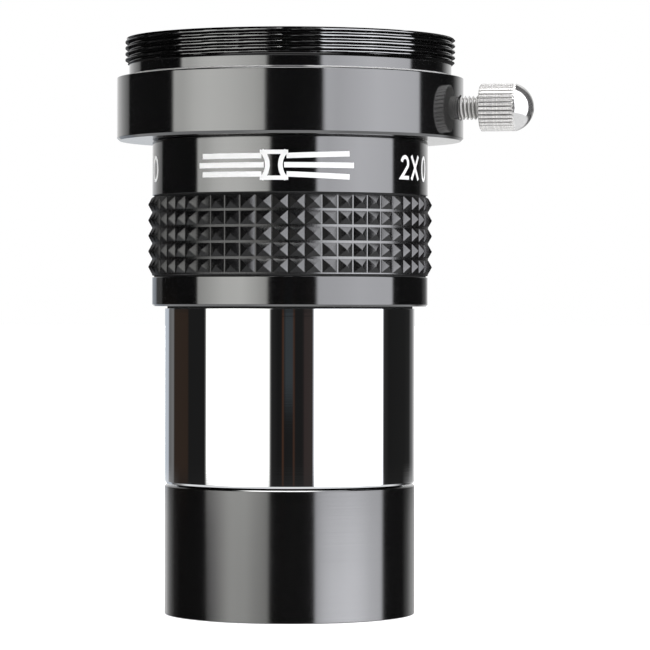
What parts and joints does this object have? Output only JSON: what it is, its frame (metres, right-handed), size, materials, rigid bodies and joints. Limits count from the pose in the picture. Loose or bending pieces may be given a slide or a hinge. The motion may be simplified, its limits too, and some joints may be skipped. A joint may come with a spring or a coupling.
{
  "type": "barlow lens",
  "caption": "Barlow lens with an eyepiece socket, thumbscrew, camera thread, ribbed rubber grip, chrome nosepiece and a screw-in lens cell.",
  "frame": {"origin": "on the optical axis, level with the shoulder (lower face of the grip body), which is also the object's balance point within half a millimetre", "axes": "+Z along the optical axis towards the eyepiece; +X and -Y are the sides nearest the thumbscrew, which points 13 degrees from +X towards -Y"},
  "size_m": [0.0525, 0.044, 0.0729],
  "materials": {
    "black_anodised": "gloss black anodised",
    "satin_black": "satin black anodised",
    "chrome_plate": "polished chrome plate",
    "nickel_plate": "polished nickel plate",
    "grip_rubber": "satin moulded rubber",
    "ring_brass": "plain brass",
    "matt_black": "matt black",
    "coated_glass": "coated optical glass"
  },
  "bodies": {
    "barrel_assembly": {"thread_collar": "black_anodised", "grip_body": "black_anodised", "rubber_grip_ring": "grip_rubber", "nose_barrel": "chrome_plate", "glare_stop": "matt_black"},
    "clamp_ring": {"compression_ring": "ring_brass"},
    "screw_feed": {"thumbscrew_tip": "nickel_plate"},
    "screw_head": {"thumbscrew": "nickel_plate"},
    "cell_optics": {"biconcave_element": "coated_glass", "meniscus_element": "coated_glass"},
    "cell_housing": {"lens_cell": "satin_black", "lens_retaining_ring": "satin_black"}
  },
  "joints": [
    {"name": "thumbscrew_feed", "type": "slide", "parent": "barrel_assembly", "child": "screw_feed", "axis": [-0.9744, 0.225, 0], "range_m": [0, 0.0024]},
    {"name": "thumbscrew_spin", "type": "hinge", "parent": "screw_feed", "child": "screw_head", "pos_m": [0.02631, -0.00607, 0.02485], "axis": [-0.9744, 0.225, 0], "range_deg": [0, 1728]},
    {"name": "compression_ring_slide", "type": "slide", "parent": "barrel_assembly", "child": "clamp_ring", "axis": [-0.9744, 0.225, 0], "range_m": [0, 0.0003]},
    {"name": "cell_feed", "type": "slide", "parent": "barrel_assembly", "child": "cell_optics", "axis": [0, 0, -1], "range_m": [0, 0.0045]},
    {"name": "cell_spin", "type": "hinge", "parent": "cell_optics", "child": "cell_housing", "pos_m": [0, 0, -0.03], "axis": [0, 0, -1], "range_deg": [0, 2700]}
  ],
  "couplings": [
    {"joint": "thumbscrew_spin", "follows": "thumbscrew_feed", "rad_per_m": 12566},
    {"joint": "compression_ring_slide", "follows": "thumbscrew_feed", "ratio": 0.125},
    {"joint": "cell_spin", "follows": "cell_feed", "rad_per_m": 10472}
  ]
}
